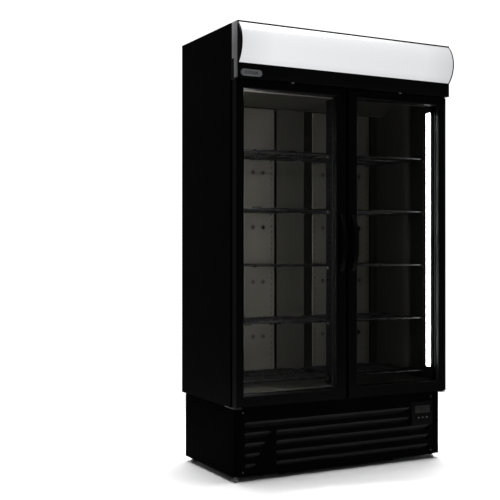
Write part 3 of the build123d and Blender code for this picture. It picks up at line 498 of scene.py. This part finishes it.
def add_loop(bm, points, radius, sides=8, closed=True):
    """Round wire along the points."""
    points = [Vector(point) for point in points]
    count = len(points)
    rings = []
    for index, point in enumerate(points):
        before = points[index - 1] if closed or index else point
        after = points[(index + 1) % count] if closed or index < count - 1 else point
        turn = (after - before).to_track_quat("Z", "Y")
        ring = []
        for side in range(sides):
            angle = 2 * math.pi * side / sides
            spoke = Vector((radius * math.cos(angle), radius * math.sin(angle), 0))
            ring.append(bm.verts.new(point + turn @ spoke))
        rings.append(ring)
    for index in range(count if closed else count - 1):
        first, second = rings[index], rings[(index + 1) % count]
        for side in range(sides):
            ahead = (side + 1) % sides
            bm.faces.new((first[side], first[ahead], second[ahead], second[side]))
    if not closed:
        bm.faces.new(rings[0][::-1])
        bm.faces.new(rings[-1])


def circle(centre, radius, count=40):
    """Points round a circle that faces the front."""
    return [Vector(centre) + radius * Vector((math.cos(a), 0, math.sin(a)))
            for a in (2 * math.pi * step / count for step in range(count))]


def screw_heads(name, places, outward, body, slot="clip_steel", radius=0.0042):
    """Domed cross-head screws standing on a surface that faces outward."""
    bm = bmesh.new()
    outward = Vector(outward)
    across = outward.orthogonal().normalized()
    for place in places:
        place = Vector(place)
        add_rod(bm, place, place + outward * 0.0008, radius)
        add_rod(bm, place + outward * 0.0008, place + outward * 0.0016, radius, 0.6 * radius)
        for arm in (across, outward.cross(across)):
            add_rod(bm, place + outward * 0.0017 - arm * 0.45 * radius,
                    place + outward * 0.0017 + arm * 0.45 * radius, 0.0003, sides=6)
    return settle(bm, name, body, slot)


def add_handles():
    for side in ("left", "right"):
        soften(f"{side}_door_handle", 0.004, f"{side}_door", "black_trim")
        low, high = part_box(f"{side}_door_handle")
        bm = bmesh.new()
        for z0 in (low.z - 0.003, high.z - 0.027):
            add_block(bm, (low.x - 0.003, high.y - 0.0018, z0), (high.x + 0.003, high.y, z0 + 0.03), 0.0007)
        settle(bm, f"{side}_handle_collars", f"{side}_door", "black_trim")


def add_gasket_beads():
    for side in ("left", "right"):
        low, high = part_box(f"{side}_door_gasket")
        bm = bmesh.new()
        for inset, depth in ((0.022, 0.3), (0.022, 0.7), (0.0, 0.5)):
            x0, x1, z0, z1 = low.x + inset, high.x - inset, low.z + inset, high.z - inset
            y = low.y + depth * (high.y - low.y)
            corners = [(x0, y, z0), (x1, y, z0), (x1, y, z1), (x0, y, z1)]
            for index, corner in enumerate(corners):
                add_rod(bm, corner, corners[(index + 1) % 4], 0.0013, sides=8)
        settle(bm, f"{side}_gasket_beads", f"{side}_door", "gasket_rubber")


def add_fan_guards():
    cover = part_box("evaporator_cover")[0].y
    for side in ("left", "right"):
        low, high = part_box(f"evaporator_fan_{side}")
        middle = (low + high) / 2
        bm = bmesh.new()
        face = Vector((middle.x, cover - 0.004, middle.z))
        for radius in (0.016, 0.03, 0.044, 0.058):
            add_loop(bm, circle(face, radius), 0.0011)
        for step in range(6):
            angle = math.pi * step / 6
            arm = Vector((math.cos(angle), 0, math.sin(angle))) * 0.061
            add_rod(bm, face - arm, face + arm, 0.0011, sides=8)
        settle(bm, f"{side}_fan_guard", "cabinet", "shelf_wire")


def add_controller():
    low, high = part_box("controller_display")
    segments = {"3": "abcdg", "5": "acdfg"}
    width, height, bar, gap = 0.013, 0.023, 0.0026, 0.0105
    bm = bmesh.new()
    middle = (low + high) / 2
    for index, digit in enumerate("35"):
        x0 = middle.x - width - gap / 2 + index * (width + gap)
        z0 = middle.z - height / 2
        spans = {
            "a": (0, height - bar, width, height),
            "b": (width - bar, height / 2, width, height),
            "c": (width - bar, 0, width, height / 2),
            "d": (0, 0, width, bar),
            "f": (0, height / 2, bar, height),
            "g": (0, (height - bar) / 2, width, (height + bar) / 2),
        }
        for key in segments[digit]:
            a, b, c, d = spans[key]
            add_block(bm, (x0 + a, low.y - 0.0003, z0 + b), (x0 + c, low.y, z0 + d))
    for x in (low.x + 0.007, high.x - 0.009):
        add_block(bm, (x, low.y - 0.0003, middle.z + 0.004), (x + 0.004, low.y, middle.z + 0.009))
        add_block(bm, (x, low.y - 0.0003, middle.z - 0.007), (x + 0.004, low.y, middle.z - 0.003))
    settle(bm, "display_marks", "cabinet", "black_trim")
    reach = 0.0022
    strokes = {
        "set": ((-1, 0, 1, 0), (0, -1, 0, 1)),
        "down": ((-1, 0.6, 0, -0.6), (0, -0.6, 1, 0.6)),
        "up": ((-1, -0.6, 0, 0.6), (0, 0.6, 1, -0.6)),
    }
    for name, marks in strokes.items():
        low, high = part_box(f"button_{name}")
        middle = (low + high) / 2
        bm = bmesh.new()
        for x0, z0, x1, z1 in marks:
            start = (middle.x + reach * x0, low.y, middle.z + reach * z0)
            end = (middle.x + reach * x1, low.y, middle.z + reach * z1)
            add_rod(bm, start, end, 0.0004, sides=8)
        settle(bm, f"{name}_mark", f"{name}_button", "badge_satin")


def add_badge():
    low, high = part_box("badge_plate")
    inset = 0.0015
    radius = (high.z - low.z) / 2 - inset
    middle, face = (low + high) / 2, low.y
    bm = bmesh.new()
    points = []
    for centre, start in ((high.x - inset - radius, -0.5), (low.x + inset + radius, 0.5)):
        for step in range(13):
            angle = math.pi * (start + step / 12)
            points.append((centre + radius * math.cos(angle), face, middle.z + radius * math.sin(angle)))
    add_loop(bm, points, 0.0011)
    settle(bm, "badge_rim", "cabinet", "badge_satin")
    letters = bpy.data.curves.new("badge_letters", "FONT")
    letters.body = "COOLER"
    letters.size, letters.extrude = 0.0165, 0.0004
    letters.align_x, letters.align_y = "CENTER", "CENTER"
    holder = bpy.data.objects.new("badge_source", letters)
    bpy.context.scene.collection.objects.link(holder)
    bm = bmesh.new()
    bm.from_mesh(holder.evaluated_get(bpy.context.evaluated_depsgraph_get()).to_mesh())
    bpy.data.objects.remove(holder)
    place = Matrix.Translation((middle.x, face - 0.0002, middle.z)) @ Matrix.Rotation(math.pi / 2, 4, "X")
    bmesh.ops.transform(bm, matrix=place, verts=bm.verts)
    settle(bm, "badge_letters", "cabinet", "black_trim")


def add_machinery():
    low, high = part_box("compressor")
    seam, shell_depth, shell_radius = 0.104, 0.11, 0.0722
    foot, bolt_top = 0.044, 0.052
    middle = Vector(((low.x + high.x) / 2, shell_depth, seam))
    bm = bmesh.new()
    for z, radius in ((seam, 0.0028), (0.152, 0.0012), (0.058, 0.0012)):
        ring = [(middle.x + shell_radius * math.cos(a), middle.y + shell_radius * math.sin(a), z)
                for a in (2 * math.pi * step / 48 for step in range(48))]
        add_loop(bm, ring, radius)
    for dx in (-0.088, 0.088):
        for dy in (-0.048, 0.048):
            x, y = middle.x + dx, middle.y + dy
            add_rod(bm, (x, y, foot), (x, y, bolt_top), 0.006, 0.005)
    settle(bm, "compressor_seam_and_bolts", "cabinet", "motor_casing")
    low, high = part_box("electrical_box")
    rim, lid = 0.004, 0.003
    bm = bmesh.new()
    add_block(bm, (low.x + rim, high.y, low.z + rim), (high.x - rim, high.y + lid, high.z - rim), 0.001)
    settle(bm, "electrical_box_lid", "cabinet", "fan_plastic")
    screw_heads("lid_screws", [(x, high.y + lid, z) for x in (low.x + 0.01, high.x - 0.01)
                               for z in (low.z + 0.01, high.z - 0.01)], (0, 1, 0), "cabinet", radius=0.003)


def add_shell_details():
    low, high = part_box("back_panel")
    rows = (0.36, 0.68, 1.0, 1.32, 1.64, 1.97)
    sides = [(x, high.y, z) for x in (low.x + 0.018, high.x - 0.018) for z in rows]
    ends = [(x, high.y, z) for x in (-0.28, 0.0, 0.28) for z in (rows[0], rows[-1])]
    screw_heads("back_screws", sides + ends, (0, 1, 0), "cabinet")
    bm = bmesh.new()
    for x in (-0.3, 0.3):
        add_block(bm, (x - 0.012, high.y - 0.0005, 0.48), (x + 0.012, high.y + 0.0012, 1.86), 0.0006)
    add_block(bm, (-0.06, high.y - 0.0005, 1.70), (0.06, high.y + 0.0006, 1.78), 0.0003)
    settle(bm, "back_ribs", "cabinet", "black_steel")
    low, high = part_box("outer_wrap")
    base_low, base_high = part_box("base_side_panels")
    for side, x, base_x, out in (("left", low.x, base_low.x, -1), ("right", high.x, base_high.x, 1)):
        screw_heads(f"{side}_wrap_rivets", [(x, high.y - 0.014, z) for z in (0.37, 0.9, 1.43, 1.96)],
                    (out, 0, 0), "cabinet", "black_steel", 0.003)
        screw_heads(f"{side}_base_screws", [(base_x, y, z) for y in (-0.17, 0.27) for z in (0.07, 0.29)],
                    (out, 0, 0), "cabinet", "black_steel", 0.0035)
    bm = bmesh.new()
    # plugs before folds: rounding a block first would leave the face order to chance
    for x in (-0.4, 0.4):
        add_rod(bm, (x, 0.2, high.z - 0.0004), (x, 0.2, high.z + 0.0022), 0.011, 0.008)
    for y0, y1 in ((low.y + 0.006, low.y + 0.009), (high.y - 0.018, high.y - 0.015)):
        add_block(bm, (low.x + 0.008, y0, high.z - 0.0004), (high.x - 0.008, y1, high.z + 0.0008), 0.0003)
    settle(bm, "top_folds_and_plugs", "cabinet", "black_steel")


def add_lamp_lenses():
    """The two lenses as separate pieces, as they do not glow equally."""
    low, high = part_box("lamp_lenses")
    thick = 0.0035
    for side, x0, x1, material in (("left", low.x, low.x + thick, FINISH["lamp_diffuser"]),
                                   ("right", high.x - thick, high.x, lamp_strip("right_lamp", RIGHT_LAMP))):
        bm = bmesh.new()
        add_block(bm, (x0, low.y, low.z), (x1, high.y, high.z), 0.0008)
        settle(bm, f"{side}_lamp_lens", "cabinet", "lamp_diffuser", ("lamp_lenses",), material=material)


def add_lamp_ends():
    low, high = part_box("lamp_housings")
    depth = 0.0115
    for side, x0, x1 in (("left", low.x, low.x + depth), ("right", high.x - depth, high.x)):
        bm = bmesh.new()
        for z0, z1 in ((low.z - 0.002, low.z + 0.012), (high.z - 0.012, high.z + 0.002)):
            add_block(bm, (x0, low.y - 0.001, z0), (x1, high.y + 0.001, z1), 0.001)
        settle(bm, f"{side}_lamp_ends", "cabinet", "black_trim")


def add_filter():
    """Condenser filter pads behind the louvres, with their wire frame."""
    grille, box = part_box("front_grille"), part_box("electrical_box")
    y0 = grille[1].y + 0.0006
    y1 = y0 + 0.002
    half, foot, top, gap = 0.515, 0.034, 0.272, 0.006
    bm = bmesh.new()
    add_block(bm, (-half, y0, foot), (box[0].x - gap, y1, top), 0.0005)
    add_block(bm, (box[0].x - 0.004, y0, foot), (half, y1, box[0].z - gap), 0.0005)
    settle(bm, "filter_pads", "cabinet", "fan_plastic")
    bm = bmesh.new()
    for step in range(13):
        x = -0.5 + 0.072 * step
        add_rod(bm, (x, y0 + 0.003, 0.036), (x, y0 + 0.003, 0.27), 0.0009, sides=6)
    settle(bm, "filter_wires", "cabinet", "fan_plastic")


def add_pieces():
    add_filter()
    add_lamp_lenses()
    add_handles()
    add_gasket_beads()
    add_fan_guards()
    add_controller()
    add_badge()
    add_machinery()
    add_shell_details()
    add_lamp_ends()
    soften("hinge_brackets", 0.0006, "cabinet", "clip_steel")
    soften("header_end_trims", 0.0003, "cabinet", "grey_trim")
    soften("lamp_housings", 0.001, "cabinet", "lamp_body")
    soften("compressor", 0.0015, "cabinet", "motor_casing")


# ---- studio ----
def add_floor():
    """Pale disc under the machine that fades into the room round it."""
    bpy.ops.mesh.primitive_circle_add(vertices=96, radius=FLOOR_FADE[1], fill_type="NGON",
                                      location=(0, 0, LOW.z))
    floor = bpy.context.active_object
    floor.name = "floor"
    graph = Graph("pale_floor")
    body = graph.node("ShaderNodeBsdfPrincipled")
    clouds = graph.cloudy(1.5, 0.0, 1.0)
    graph.join(graph.blend_colours(clouds, (0.86, 0.86, 0.86), (0.88, 0.88, 0.88)), body.inputs["Base Color"])
    body.inputs["Roughness"].default_value = 0.8
    body.inputs["Specular IOR Level"].default_value = 0.1
    distance = graph.node("ShaderNodeVectorMath", operation="LENGTH")
    graph.join(graph.place, distance.inputs[0])
    fade = graph.spread(distance.outputs["Value"], *FLOOR_FADE, 0.0, 1.0)
    mix = graph.node("ShaderNodeMixShader")
    graph.join(fade, mix.inputs[0])
    graph.join(body.outputs[0], mix.inputs[1])
    graph.join(graph.node("ShaderNodeBsdfTransparent").outputs[0], mix.inputs[2])
    floor.data.materials.append(graph.show(mix.outputs[0]))


def add_area_light(name, place, target, size, power):
    light = bpy.data.lights.new(name, "AREA")
    light.energy = power
    light.shape = "RECTANGLE"
    light.size, light.size_y = size
    holder = bpy.data.objects.new(name, light)
    bpy.context.scene.collection.objects.link(holder)
    holder.location = place
    holder.rotation_euler = (Vector(target) - Vector(place)).to_track_quat("-Z", "Y").to_euler()


def add_studio():
    """Dim room, bright behind the machine as seen from the camera, with one soft light overhead."""
    world = bpy.data.worlds.new("studio")
    bpy.context.scene.world = world
    world.use_nodes = True
    tree = world.node_tree
    background = tree.nodes["Background"]
    place = tree.nodes.new("ShaderNodeTexCoord")
    toward = tree.nodes.new("ShaderNodeVectorMath")
    toward.operation = "DOT_PRODUCT"
    toward.inputs[1].default_value = (-math.sin(CAMERA_YAW), math.cos(CAMERA_YAW), 0.0)
    tree.links.new(place.outputs["Generated"], toward.inputs[0])
    patch = tree.nodes.new("ShaderNodeMapRange")
    patch.interpolation_type = "SMOOTHSTEP"
    for socket, value in zip(("From Min", "From Max", "To Min", "To Max"), (*PATCH, ROOM, BACKDROP)):
        patch.inputs[socket].default_value = value
    tree.links.new(toward.outputs["Value"], patch.inputs["Value"])
    background.inputs["Color"].default_value = (1.0, 1.0, 1.0, 1.0)
    tree.links.new(patch.outputs["Result"], background.inputs["Strength"])
    add_area_light("overhead_softbox", OVERHEAD_PLACE, (0.0, 0.0, 0.0), OVERHEAD_SIZE, OVERHEAD)


def add_camera():
    lens = bpy.data.cameras.new("camera")
    lens.lens = CAMERA_LENS
    lens.sensor_width = 36.0
    camera = bpy.data.objects.new("camera", lens)
    bpy.context.scene.collection.objects.link(camera)
    camera.location = CAMERA_PLACE
    camera.rotation_euler = (CAMERA_TILT, 0.0, CAMERA_YAW)
    bpy.context.scene.camera = camera


finish_nodes()
add_pieces()
add_floor()
add_studio()
add_camera()
bpy.context.scene.view_settings.view_transform = "Standard"
